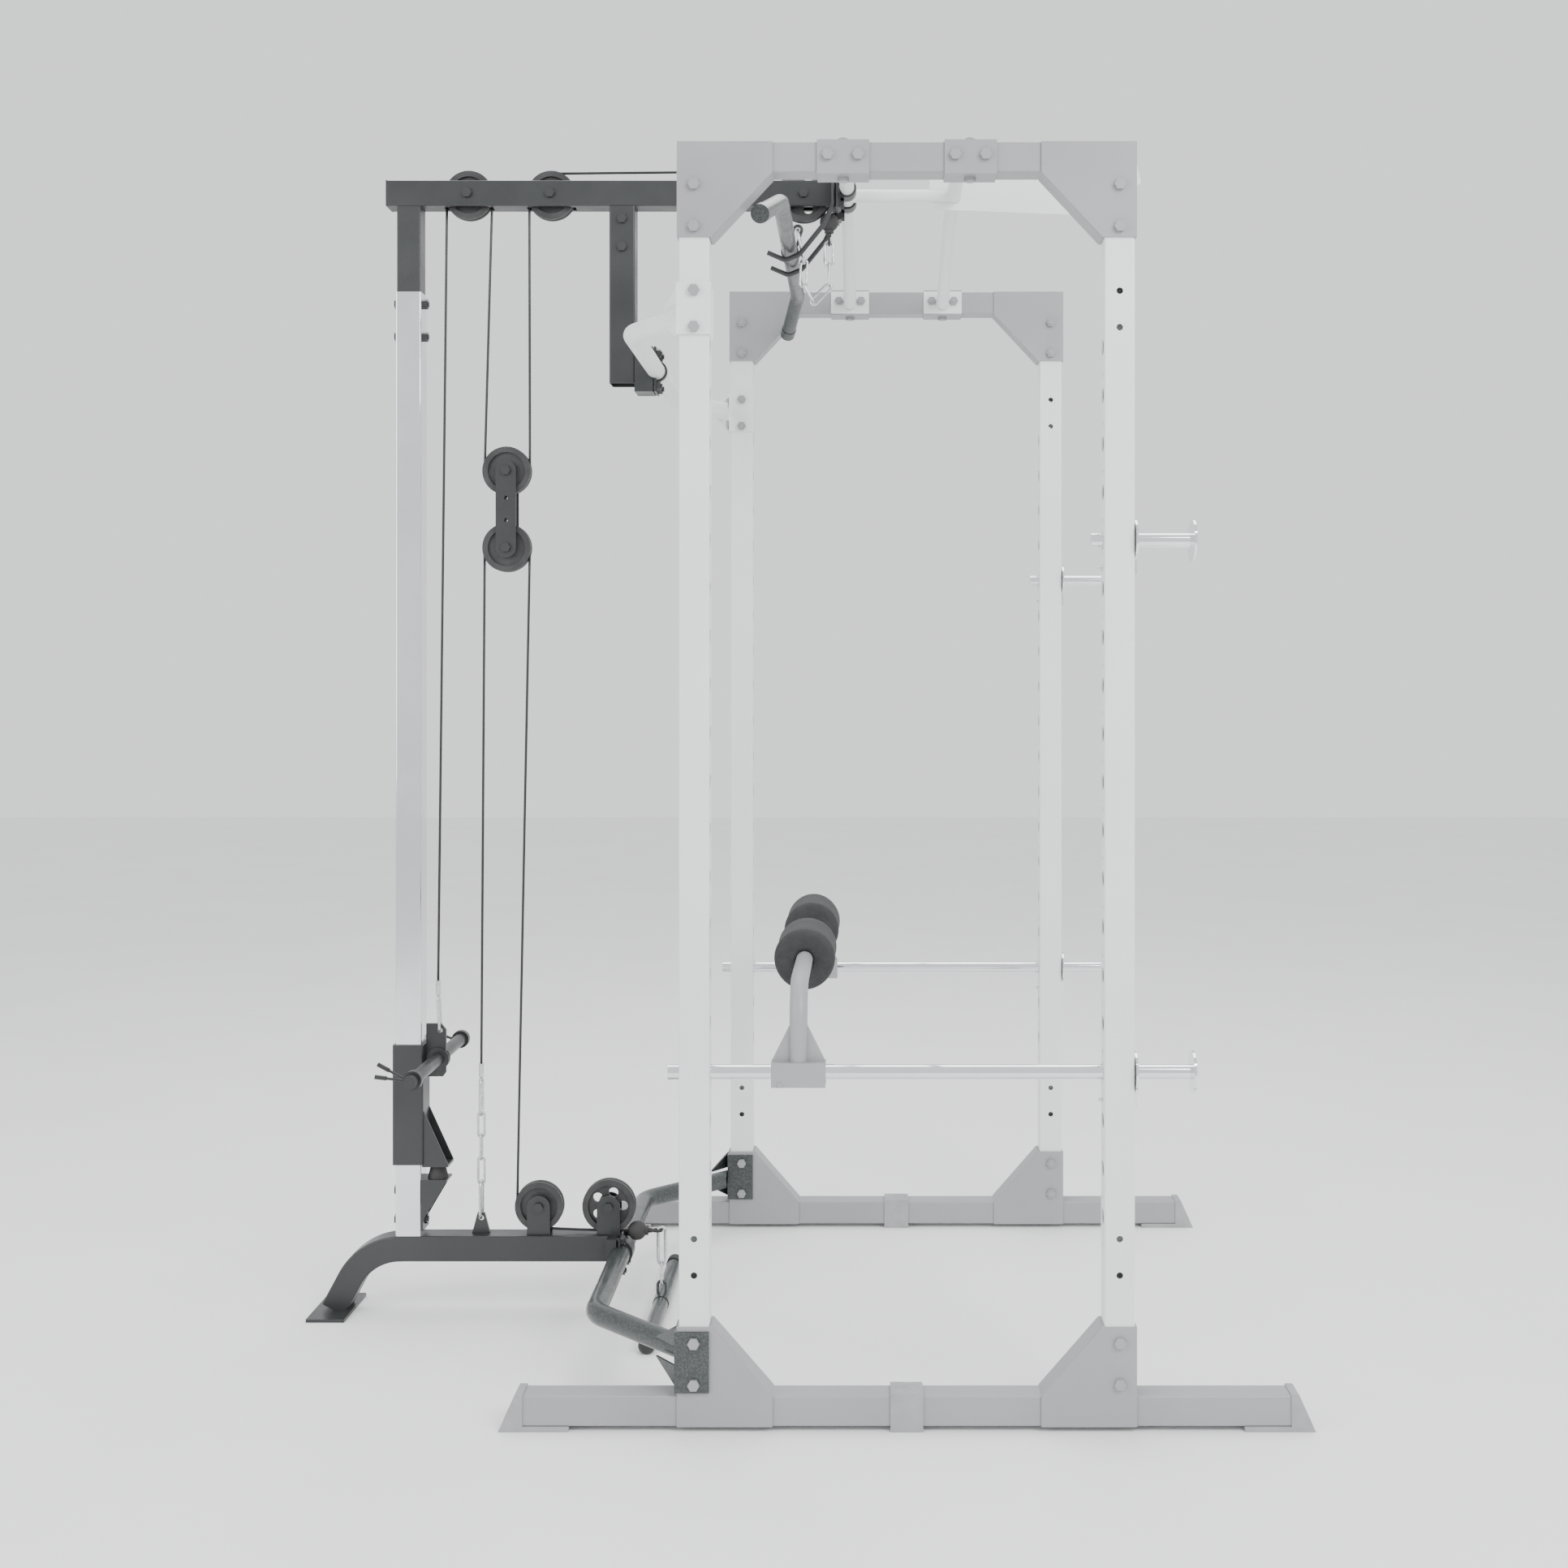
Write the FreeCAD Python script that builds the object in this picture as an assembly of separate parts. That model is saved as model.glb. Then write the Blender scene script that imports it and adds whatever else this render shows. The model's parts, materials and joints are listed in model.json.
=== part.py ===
"""Power cage with a plate-loaded lat and row tower, written in millimetres.

The working frame has X forward, Y to the left and Z up from the floor, with X = 0 midway
between the uprights. Every node is moved along X as it is saved, so that the origin is the
bottom centre of the whole object.
"""
import FreeCAD, Part
import math
import os

V = FreeCAD.Vector
os.makedirs("parts", exist_ok=True)

# ---- Driving dimensions: the cage ----------------------------------------------------------
CAGE_WIDTH = 1220.0        # outside to outside over the gusset plates
CAGE_HEIGHT = 2120.0       # top of the top rails
UPRIGHT_X = 350.0          # upright centres, forward and back
TUBE = 50.0                # square tube
WALL = 2.0
CORNER = 3.0               # outside corner radius of square tube
PLATE = 3.0                # gussets and clamps
BRACKET = 4.0              # brackets, flanges and ears
SOLE = 8.0                 # height of the base rails above the floor
BASE_HALF = 632.0          # base rail, centre to end
CAP_LENGTH = 40.0
GUSSET_LEG = 157.0         # gusset along the rail, from the outer end
GUSSET_NOSE = 57.0         # gusset width at its narrow end
TOP_GUSSET_DROP = 107.0    # gusset below the top rail
LOW_GUSSET_RISE = 114.0    # gusset above the base rail
HOLE_LOW = 346.0           # lowest adjusting hole
HOLE_PITCH = 80.0
HOLE_COUNT = 19
PEG = 25.0                 # safety bars and bar holders
PEG_HOLE = 27.0
LOCK_PIN = 6.0
LOCK_HOLE = 8.0
LOCK_DROP = 46.0           # lock pin below its bar
SAFETY_LEVEL = 3           # hole numbers, counted from the lowest
HOLDER_LEVEL = 14
FLANGE = 70.0
FLANGE_GAP = 92.0          # between the two discs of a peg
BOLT = 10.0
BOLT_HOLE = 11.0
HEX = 17.0
HEAD_HIGH = 6.4
NUT_HIGH = 8.0
ACCESSORY_HOLES = (316.0, 256.0)
BRACE_TOP_DIA = 34.0
BRACE_TOP_Z = 1845.0
BRACE_LOW_DIA = 38.0
BRACE_LOW_Z = 115.0
PULL_UP_X = 105.0
PULL_UP_DIA = 28.0
PULL_UP_Z = 2190.0
PULL_UP_END_Z = 2092.0
GRIP_DIA = 25.0
CLAMP_WIDTH = 86.0
HOLD_DOWN_X = -179.0
HOLD_DOWN_DIA = 30.0
HOLD_DOWN_Z = 730.0
FOAM_DIA = 112.0
FOAM_LENGTH = 180.0
FOAM_INNER_Y = 115.0

# ---- Driving dimensions: the tower ---------------------------------------------------------
COLUMN_X = -963.0
BASE_TUBE_TOP = 150.0
COLUMN_TOP = 1997.0
BOOM_TOP = 2215.0
BOOM_BACK = -1004.0
BOOM_FRONT = -126.0
STUB = 45.5                # square stub that slides into the column
POST_X = -545.0
POST_FOOT = 1818.0
FOOT_BACK = -1147.0
FOOT_LENGTH = 74.0
FOOT_WIDTH = 160.0
CABLE_R = 2.5
CABLE_GAP = 0.4            # between a straight run and what it meets
WHEEL_SMALL = 95.0         # outside diameter of the plain pulleys
WHEEL_LARGE = 104.0        # outside diameter of the spoked pulleys
GROOVE_DEPTH = 3.0         # rim down to the middle of the cable
WHEEL_WIDE = 20.0
AXLE_R = 5.0
BORE_R = 5.06
BOOM_Z = BOOM_TOP - TUBE / 2
REAR_WHEEL_X = -848.0
MIDDLE_WHEEL_X = -686.0
FRONT_WHEEL_X = -190.0
BLOCK_X = -774.0
BLOCK_UPPER_Z = 1648.6
BLOCK_LOWER_Z = 1497.7
BASE_REAR_X = -710.0
BASE_FRONT_X = -573.0
BASE_WHEEL_Z = 204.0
CARRIAGE_LOW = 285.0
CARRIAGE_HIGH = 524.0
SLEEVE = 60.0
HORN_X = -910.0
HORN_Z = 493.0
HORN_DIA = 25.0
HORN_HALF = 230.0
ANCHOR_X = -825.0
LAT_BAR_X = -217.0
LAT_BAR_Z = 2076.0
LAT_BAR_DIA = 30.0
ROW_HANDLE_DIA = 29.0
ROW_HANDLE_HALF = 250.0
CHAIN_WIRE = 2.3

# ---- Worked out from the driving dimensions ------------------------------------------------
HALF = TUBE / 2
FRAME_Y = CAGE_WIDTH / 2 - PLATE - HALF
RAIL_LOW_TOP = SOLE + TUBE
RAIL_TOP_LOW = CAGE_HEIGHT - TUBE
FACE_X = UPRIGHT_X + HALF
OUTER_X = FACE_X + PLATE
SAFETY_Z = HOLE_LOW + SAFETY_LEVEL * HOLE_PITCH
HOLDER_Z = HOLE_LOW + HOLDER_LEVEL * HOLE_PITCH
CABLE_SMALL = WHEEL_SMALL / 2 - GROOVE_DEPTH
CABLE_LARGE = WHEEL_LARGE / 2 - CABLE_R
FRONT_CAP_X = BASE_HALF + CAP_LENGTH
SHIFT_X = -(FOOT_BACK + FRONT_CAP_X) / 2
TOP_BOLTS = (CAGE_HEIGHT - 71.0, CAGE_HEIGHT - 140.0)
LOW_BOLTS = (RAIL_LOW_TOP + 21.0, RAIL_LOW_TOP + 89.0)
BRACE_BOLTS = (BRACE_TOP_Z + 30.0, BRACE_TOP_Z - 30.0)
NODES = []


# ---- Helpers -------------------------------------------------------------------------------
def box(x0, x1, y0, y1, z0, z1):
    """A block between two corners."""
    return Part.makeBox(x1 - x0, y1 - y0, z1 - z0, V(x0, y0, z0))


def rod(start, end, radius, inside=0.0):
    """A round rod between two points, hollow if it has an inside radius."""
    a, b = V(*start), V(*end)
    solid = Part.makeCylinder(radius, (b - a).Length, a, b - a)
    if inside:
        solid = solid.cut(Part.makeCylinder(inside, (b - a).Length, a, b - a))
    return solid


def fuse(*solids):
    """One solid from several that touch."""
    return solids[0].multiFuse(list(solids[1:])).removeSplitter()


def cut(solid, *tools):
    """A solid without the tools."""
    return solid.cut(Part.makeCompound(list(tools)))


def mirrored(solid, normal=(0, 1, 0)):
    """A copy on the other side of the origin's plane."""
    return solid.mirror(V(0, 0, 0), V(*normal))


def both_sides(solid):
    """A solid and its mirror image in Y."""
    return [solid, mirrored(solid)]


def prism(points, y0, y1):
    """A plate outlined in X and Z, between two Y planes."""
    corners = [V(x, y0, z) for x, z in points]
    return Part.Face(Part.makePolygon(corners + corners[:1])).extrude(V(0, y1 - y0, 0))


def rounded_square(size, radius):
    """A face in the XY plane, centred, with round corners."""
    solid = Part.makeBox(size, size, 1, V(-size / 2, -size / 2, 0))
    upright_edges = [e for e in solid.Edges if abs(e.BoundBox.ZLength - 1) < 1e-6]
    solid = solid.makeFillet(radius, upright_edges)
    return [f for f in solid.Faces if f.BoundBox.ZMax < 1e-6][0]


def square_tube(start, end, size=TUBE, wall=WALL, corner=CORNER):
    """Square tube along one axis between two points."""
    a, b = V(*start), V(*end)
    length = (b - a).Length
    solid = rounded_square(size, corner).extrude(V(0, 0, length))
    if wall:
        inner = rounded_square(size - 2 * wall, max(corner - wall, 0.5)).extrude(V(0, 0, length))
        solid = solid.cut(inner)
    solid.Placement = FreeCAD.Placement(a, FreeCAD.Rotation(V(0, 0, 1), b - a))
    return solid


def bent_wire(points, bend):
    """A wire through the points, with a tangent arc of the bend radius at each corner."""
    pts = [V(*p) for p in points]
    edges = []
    last = pts[0]
    for before, corner, after in zip(pts, pts[1:], pts[2:]):
        into, out = (corner - before).normalize(), (after - corner).normalize()
        turn = math.acos(max(-1.0, min(1.0, into.dot(out))))
        back = bend * math.tan(turn / 2)
        first, second = corner - into * back, corner + out * back
        inward = (out - into).normalize()
        middle = corner + inward * (bend / math.cos(turn / 2) - bend)
        edges.append(Part.LineSegment(last, first).toShape())
        edges.append(Part.Arc(first, middle, second).toShape())
        last = second
    edges.append(Part.LineSegment(last, pts[-1]).toShape())
    return Part.Wire(edges)


def swept(wire, radius):
    """A round section along a wire."""
    start = wire.Edges[0].valueAt(wire.Edges[0].FirstParameter)
    along = wire.Edges[0].tangentAt(wire.Edges[0].FirstParameter)
    ring = Part.Wire(Part.makeCircle(radius, start, along))
    return wire.makePipeShell([ring], True, True)


def bent_rod(points, bend, radius, inside=0.0):
    """A bent round rod or, with an inside radius, a bent tube."""
    wire = bent_wire(points, bend)
    solid = swept(wire, radius)
    return solid.cut(swept(wire, inside)) if inside else solid


def link(start, end, width, wire, twist=0.0):
    """A closed oval link whose outer ends are at the two points, turned about its length."""
    a, b = V(*start), V(*end)
    along = (b - a).normalize()
    across = along.cross(V(0, 1, 0)).normalize()
    across = FreeCAD.Rotation(along, twist).multVec(across)
    r = width / 2 - wire
    s = (b - a).Length / 2 - wire - r
    edges = [Part.LineSegment(V(-s, r, 0), V(s, r, 0)).toShape(),
             Part.Arc(V(s, r, 0), V(s + r, 0, 0), V(s, -r, 0)).toShape(),
             Part.LineSegment(V(s, -r, 0), V(-s, -r, 0)).toShape(),
             Part.Arc(V(-s, -r, 0), V(-s - r, 0, 0), V(-s, r, 0)).toShape()]
    solid = swept(Part.Wire(edges), wire)
    turn = FreeCAD.Rotation(along, across, along.cross(across), "XYZ")
    solid.Placement = FreeCAD.Placement((a + b) * 0.5, turn)
    return solid


def hexagon(at, along, height):
    """A hexagonal head or nut from a point, along a direction."""
    p, d = V(*at), V(*along)
    corners = [V(HEX / math.sqrt(3) * math.cos(i * math.pi / 3),
                 HEX / math.sqrt(3) * math.sin(i * math.pi / 3), 0) for i in range(7)]
    solid = Part.Face(Part.makePolygon(corners)).extrude(V(0, 0, height))
    solid.Placement = FreeCAD.Placement(p, FreeCAD.Rotation(V(0, 0, 1), d))
    return solid


def bolt(head_at, nut_at):
    """A hex bolt and its nut, clamping from one face to the other."""
    a, b = V(*head_at), V(*nut_at)
    d = (b - a).normalize()
    end = b + d * (NUT_HIGH + 2)
    body = fuse(hexagon(a, -d, HEAD_HIGH), rod(a, end, BOLT / 2))
    nut = hexagon(b, d, NUT_HIGH).cut(rod(a, end, BOLT / 2))
    return [body, nut]


def hole(axis, x, y, z, diameter, reach):
    """A drill along one axis, reaching both ways from a point."""
    step = {"x": (reach, 0, 0), "y": (0, reach, 0), "z": (0, 0, reach)}[axis]
    return rod((x - step[0], y - step[1], z - step[2]),
               (x + step[0], y + step[1], z + step[2]), diameter / 2)


def save(name, *solids):
    """Write one node, moved to the object's own origin."""
    pieces = []
    for solid in solids:
        pieces += solid.Solids
    for piece in pieces:
        if not piece.isValid():
            print("not valid:", name)
    shape = Part.makeCompound(pieces) if len(pieces) > 1 else pieces[0].copy()
    shape.translate(V(SHIFT_X, 0, 0))
    shape.exportStep("parts/" + name + ".step")
    NODES.append(name)


# ---- Uprights ------------------------------------------------------------------------------
def upright(x, y):
    """One upright with its adjusting holes, lock holes and bolt holes."""
    tube = square_tube((x, y, RAIL_LOW_TOP), (x, y, RAIL_TOP_LOW))
    levels = [HOLE_LOW + HOLE_PITCH * i for i in range(HOLE_COUNT)]
    drills = [hole("x", x, y, z, PEG_HOLE, TUBE) for z in levels]
    if x > 0:
        drills += [hole("x", x, y, z - LOCK_DROP, LOCK_HOLE, TUBE) for z in levels]
    for z in TOP_BOLTS + LOW_BOLTS + BRACE_BOLTS + ACCESSORY_HOLES:
        drills.append(hole("y", x, y, z, BOLT_HOLE, TUBE))
    return cut(tube, *drills)


for end_name, end in (("rear", -1), ("front", 1)):
    for side_name, side in (("right", -1), ("left", 1)):
        save("upright_%s_%s" % (end_name, side_name), upright(end * UPRIGHT_X, side * FRAME_Y))


# ---- Rails with their welded corner gussets ------------------------------------------------
def gusset(z_rail_outer, z_rail_inner, z_end, bolts):
    """The folded corner at the front of the left rail, open where the upright stands."""
    nose = OUTER_X - GUSSET_NOSE
    tail = OUTER_X - GUSSET_LEG
    outline = [(OUTER_X, z_end), (OUTER_X, z_rail_outer), (tail, z_rail_outer),
               (tail, z_rail_inner), (nose, z_end)]
    plate = prism(outline, FRAME_Y + HALF, FRAME_Y + HALF + PLATE)
    inner = prism(outline, FRAME_Y - HALF - PLATE, FRAME_Y - HALF)
    slope = PLATE + 1.0
    web = prism([(nose - 0.5, z_end), (tail, z_rail_inner), (tail + slope, z_rail_inner),
                 (nose - 0.5 + slope, z_end)], FRAME_Y - HALF, FRAME_Y + HALF)
    low, high = sorted((z_end, z_rail_inner))
    end_web = box(FACE_X, OUTER_X, FRAME_Y - HALF, FRAME_Y + HALF, low, high)
    drills = [hole("y", UPRIGHT_X, FRAME_Y, z, BOLT_HOLE, TUBE) for z in bolts]
    return [cut(plate, *drills), cut(inner, *drills), web, end_web]


def top_rail():
    """The left top rail, its two gussets and the pull-up clamp holes."""
    z = CAGE_HEIGHT - HALF
    tube = square_tube((-FACE_X, FRAME_Y, z), (FACE_X, FRAME_Y, z))
    front = gusset(CAGE_HEIGHT, RAIL_TOP_LOW, RAIL_TOP_LOW - TOP_GUSSET_DROP, TOP_BOLTS)
    front.append(box(FACE_X, OUTER_X, FRAME_Y - HALF, FRAME_Y + HALF, RAIL_TOP_LOW, CAGE_HEIGHT))
    rear = [mirrored(s, (1, 0, 0)) for s in front]
    drills = []
    for x in (-PULL_UP_X, PULL_UP_X):
        drills.append(hole("z", x, FRAME_Y, z, BOLT_HOLE, TUBE))
        for dx in (-HALF, HALF):
            drills.append(hole("y", x + dx, FRAME_Y, PULL_UP_END_Z + 6, BOLT_HOLE, TUBE))
    return cut(tube, *drills).multiFuse(front + rear)


def base_rail():
    """The left base rail with its two gussets."""
    z = SOLE + HALF
    tube = square_tube((-BASE_HALF, FRAME_Y, z), (BASE_HALF, FRAME_Y, z))
    front = gusset(SOLE, RAIL_LOW_TOP, RAIL_LOW_TOP + LOW_GUSSET_RISE, LOW_BOLTS)
    rear = [mirrored(s, (1, 0, 0)) for s in front]
    return fuse(tube, *(front + rear))


left_top, left_base = top_rail(), base_rail()
save("top_rail_left", left_top)
save("top_rail_right", mirrored(left_top))
save("base_rail_left", left_base)
save("base_rail_right", mirrored(left_base))

# Plastic end caps with a sole tongue, and a mid foot that wraps the rail.
cap_low, cap_top = FRONT_CAP_X, BASE_HALF + 13.0
cap = prism([(BASE_HALF - 76, 0), (cap_low, 0), (cap_top, RAIL_LOW_TOP + 2),
             (BASE_HALF, RAIL_LOW_TOP + 2), (BASE_HALF, SOLE), (BASE_HALF - 76, SOLE)],
            FRAME_Y - HALF - 2, FRAME_Y + HALF + 2)
mid_foot = box(-27, 27, FRAME_Y - HALF - 3, FRAME_Y + HALF + 3, 0, RAIL_LOW_TOP + 4)
mid_foot = mid_foot.cut(square_tube((-40, FRAME_Y, SOLE + HALF), (40, FRAME_Y, SOLE + HALF), TUBE, 0))
feet = [cap, mirrored(cap, (1, 0, 0)), mid_foot]
save("rail_feet", *(feet + [mirrored(s) for s in feet]))


# ---- Rear braces ---------------------------------------------------------------------------
def rear_brace(z, radius, bend_x, bend_y, inner, back_x, low, high, bolts):
    """A bent rear tube with a channel bracket round each rear upright."""
    lead = V(-back_x - bend_x, FRAME_Y - bend_y, 0).normalize() * 60
    ends = (back_x + lead.x, FRAME_Y + lead.y)
    points = [(ends[0], -ends[1], z), (bend_x, -bend_y, z), (bend_x, bend_y, z),
              (ends[0], ends[1], z)]
    tube = bent_rod(points, 65, radius, radius - WALL)
    tube = tube.cut(box(back_x, 0, -900, 900, z - 60, z + 60))
    plate = box(back_x, back_x + BRACKET, FRAME_Y - inner - BRACKET, FRAME_Y + inner + BRACKET,
                low, high)
    cheek = box(back_x, back_x + 57, FRAME_Y + inner, FRAME_Y + inner + BRACKET, low, high)
    other = cheek.copy()
    other.translate(V(0, -2 * inner - BRACKET, 0))
    drills = [hole("y", -UPRIGHT_X, FRAME_Y, b, BOLT_HOLE, TUBE) for b in bolts]
    run = (FRAME_Y - bend_y) / (back_x - bend_x)
    webs = []
    for edge in (low, high):
        near = z - radius + 3 if edge < z else z + radius - 3
        web = prism([(back_x, edge), (back_x, near), (back_x - 62, near)], -2, 2)
        web.rotate(V(back_x, 0, 0), V(0, 0, 1), math.degrees(math.atan(run)))
        web.translate(V(0, FRAME_Y, 0))
        webs.append(web.cut(box(back_x, 0, 0, 900, 0, 3000)))
    left = [plate, cut(cheek, *drills), cut(other, *drills)] + webs
    return fuse(tube, *(left + [mirrored(s) for s in left]))


BRACE_TOP_X, BRACE_LOW_X = -480.0, -548.0
save("upper_rear_brace", rear_brace(BRACE_TOP_Z, BRACE_TOP_DIA / 2, BRACE_TOP_X, 388.0, HALF,
                                    -FACE_X - BRACKET, BRACE_TOP_Z - 42, BRACE_TOP_Z + 43, BRACE_BOLTS))
save("lower_rear_brace", rear_brace(BRACE_LOW_Z, BRACE_LOW_DIA / 2, BRACE_LOW_X, 367.0,
                                    HALF + PLATE, -OUTER_X - BRACKET, BRACE_LOW_Z - 50,
                                    BRACE_LOW_Z + 50, LOW_BOLTS))


# ---- Pull-up bars --------------------------------------------------------------------------
bar_end_y = FRAME_Y - HALF - PLATE
clamp_low, clamp_high = RAIL_TOP_LOW - PLATE, CAGE_HEIGHT + PLATE


def pull_up_bar(x):
    """One arched bar with a plate welded to each end."""
    tube = bent_rod([(x, -bar_end_y, PULL_UP_END_Z), (x, -210, PULL_UP_Z), (x, 210, PULL_UP_Z),
                     (x, bar_end_y, PULL_UP_END_Z)], 400, PULL_UP_DIA / 2)
    tube = tube.cut(box(x - 30, x + 30, bar_end_y, bar_end_y + 60, 2000, 2200))
    tube = tube.cut(box(x - 30, x + 30, -bar_end_y - 60, -bar_end_y, 2000, 2200))
    end = box(x - CLAMP_WIDTH / 2, x + CLAMP_WIDTH / 2, bar_end_y, FRAME_Y - HALF,
              RAIL_TOP_LOW, CAGE_HEIGHT)
    end = cut(end, *[hole("y", x + dx, FRAME_Y, PULL_UP_END_Z + 6, BOLT_HOLE, 60)
                     for dx in (-HALF, HALF)])
    return [tube, end, mirrored(end)]


grip = rod((-PULL_UP_X, 0, PULL_UP_Z), (PULL_UP_X, 0, PULL_UP_Z), GRIP_DIA / 2)
save("pull_up_bars", fuse(grip, *(pull_up_bar(-PULL_UP_X) + pull_up_bar(PULL_UP_X))))

clamps = []
for x in (-PULL_UP_X, PULL_UP_X):
    x0, x1 = x - CLAMP_WIDTH / 2, x + CLAMP_WIDTH / 2
    clamp = fuse(box(x0, x1, FRAME_Y + HALF, FRAME_Y + HALF + PLATE, clamp_low, clamp_high),
                 box(x0, x1, bar_end_y, FRAME_Y + HALF, CAGE_HEIGHT, clamp_high),
                 box(x0, x1, bar_end_y, FRAME_Y + HALF, clamp_low, RAIL_TOP_LOW))
    drills = [hole("z", x, FRAME_Y, CAGE_HEIGHT, BOLT_HOLE, 100)]
    drills += [hole("y", x + dx, FRAME_Y, PULL_UP_END_Z + 6, BOLT_HOLE, 60) for dx in (-HALF, HALF)]
    clamps += both_sides(cut(clamp, *drills))
save("pull_up_clamps", *clamps)

# A plate that stands on the front pull-up bar, slit over the centre grip.
header = prism([(57, 2164), (340, 2153), (473, 2215), (463, 2264), (440, 2270), (57, 2270)],
               -BRACKET / 2, BRACKET / 2)
save("header_plate", cut(header, rod((PULL_UP_X, -5, PULL_UP_Z), (PULL_UP_X, 5, PULL_UP_Z),
                                     PULL_UP_DIA / 2 + 0.3),
                         rod((40, 0, PULL_UP_Z), (PULL_UP_X, 0, PULL_UP_Z), GRIP_DIA / 2 + 0.3)))

# Bolts through the gussets, the brace brackets and the pull-up clamps.
bolts = []
for x, zs, reach in ((UPRIGHT_X, TOP_BOLTS + LOW_BOLTS, PLATE), (-UPRIGHT_X, TOP_BOLTS, PLATE),
                     (-UPRIGHT_X, LOW_BOLTS, PLATE + BRACKET), (-UPRIGHT_X, BRACE_BOLTS, BRACKET)):
    for z in zs:
        bolts += bolt((x, FRAME_Y + HALF + reach, z), (x, FRAME_Y - HALF - reach, z))
for x in (-PULL_UP_X, PULL_UP_X):
    bolts += bolt((x, FRAME_Y, clamp_low), (x, FRAME_Y, clamp_high))
    for dx in (-HALF, HALF):
        bolts += bolt((x + dx, FRAME_Y + HALF + PLATE, PULL_UP_END_Z + 6),
                      (x + dx, bar_end_y, PULL_UP_END_Z + 6))
save("cage_bolts", *(bolts + [mirrored(s) for s in bolts]))


# ---- Safety bars, bar holders and the leg hold-down ----------------------------------------
def peg(z, back):
    """A round bar through a front upright, with two discs and a lock pin."""
    y = FRAME_Y
    flange_x = FACE_X + 1.0
    tip = flange_x + BRACKET + FLANGE_GAP + BRACKET
    return fuse(rod((back, y, z), (tip, y, z), PEG / 2),
                rod((flange_x, y, z), (flange_x + BRACKET, y, z), FLANGE / 2),
                rod((tip - BRACKET, y, z), (tip, y, z), FLANGE / 2),
                box(flange_x, flange_x + BRACKET, y - 12, y + 12, z - LOCK_DROP - 10, z),
                rod((317, y, z - LOCK_DROP), (flange_x, y, z - LOCK_DROP), LOCK_PIN / 2))


for name, z, back in (("safety_bar", SAFETY_Z, -395.0), ("bar_holder", HOLDER_Z, 305.0)):
    left_peg = peg(z, back)
    save(name + "_left", left_peg)
    save(name + "_right", mirrored(left_peg))

SADDLE_LONG, SADDLE_HALF, SADDLE_GAP = 90.0, 18.0, 14.0
saddle_top = SAFETY_Z + 17.5
saddle_low = SAFETY_Z - 23.0
x0, x1 = HOLD_DOWN_X - SADDLE_LONG / 2, HOLD_DOWN_X + SADDLE_LONG / 2
saddle = [box(x0, x1, FRAME_Y + SADDLE_GAP, FRAME_Y + SADDLE_HALF, saddle_low, saddle_top),
          box(x0, x1, FRAME_Y - SADDLE_HALF, FRAME_Y - SADDLE_GAP, saddle_low, saddle_top),
          box(x0, x1, FRAME_Y - SADDLE_HALF, FRAME_Y + SADDLE_HALF, saddle_top - BRACKET, saddle_top),
          rod((x0 + 14, FRAME_Y - 20, saddle_low + 5), (x0 + 14, FRAME_Y + 20, saddle_low + 5), 4),
          prism([(x0, saddle_top), (x1, saddle_top), (HOLD_DOWN_X + 15, saddle_top + 60),
                 (HOLD_DOWN_X - 15, saddle_top + 60)], FRAME_Y - 2, FRAME_Y + 2)]
posts = bent_rod([(HOLD_DOWN_X, -FRAME_Y, saddle_top), (HOLD_DOWN_X, -FRAME_Y, HOLD_DOWN_Z),
                  (HOLD_DOWN_X, FRAME_Y, HOLD_DOWN_Z), (HOLD_DOWN_X, FRAME_Y, saddle_top)],
                 65, HOLD_DOWN_DIA / 2)
save("hold_down_frame", fuse(posts, *(saddle + [mirrored(s) for s in saddle])))
foam = rod((HOLD_DOWN_X, FOAM_INNER_Y, HOLD_DOWN_Z),
           (HOLD_DOWN_X, FOAM_INNER_Y + FOAM_LENGTH, HOLD_DOWN_Z), FOAM_DIA / 2,
           HOLD_DOWN_DIA / 2 + 0.4)
save("foam_roller_left", foam)
save("foam_roller_right", mirrored(foam))


# ---- Tower frame ---------------------------------------------------------------------------
base_mid_z = BASE_TUBE_TOP - HALF
base_end_x = -572.0
base_back = COLUMN_X - HALF
ring_low = BRACE_LOW_DIA / 2 + 0.3
ring_top = BRACE_TOP_DIA / 2 + 0.2
foot_end = FOOT_BACK + FOOT_LENGTH
foot_mid = FOOT_BACK + FOOT_LENGTH / 2
bottom_bolts = (178.0, 235.0)
column_bolts = (COLUMN_TOP - 20, COLUMN_TOP - 84)

foot_points = [(base_back + 20, 0, base_mid_z), (base_back - 60, 0, base_mid_z - 4), (foot_mid, 0, 6)]
into = V(*foot_points[2]) - V(*foot_points[1])
foot_wire = bent_wire(foot_points, 110)
foot_start = foot_wire.Edges[0]
profile = rounded_square(TUBE - 0.4, CORNER).OuterWire
profile.Placement = FreeCAD.Placement(foot_start.valueAt(foot_start.FirstParameter),
                                      FreeCAD.Rotation(V(0, 0, 1), foot_start.tangentAt(0)))
foot = foot_wire.makePipeShell([profile], True, True)
foot = foot.cut(box(FOOT_BACK - 100, -900, -100, 100, -100, 3))
ears = []
for x, diameter in ((BASE_REAR_X, WHEEL_SMALL), (BASE_FRONT_X, WHEEL_LARGE)):
    for y in (-16.0, 12.0):
        ear = fuse(box(x - 22.5, x + 22.5, y, y + BRACKET, BASE_TUBE_TOP - 1, BASE_WHEEL_Z),
                   rod((x, y, BASE_WHEEL_Z), (x, y + BRACKET, BASE_WHEEL_Z), 22.5))
        ears.append(cut(ear, hole("y", x, 0, BASE_WHEEL_Z, 2 * AXLE_R + 0.4, 50)))
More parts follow.
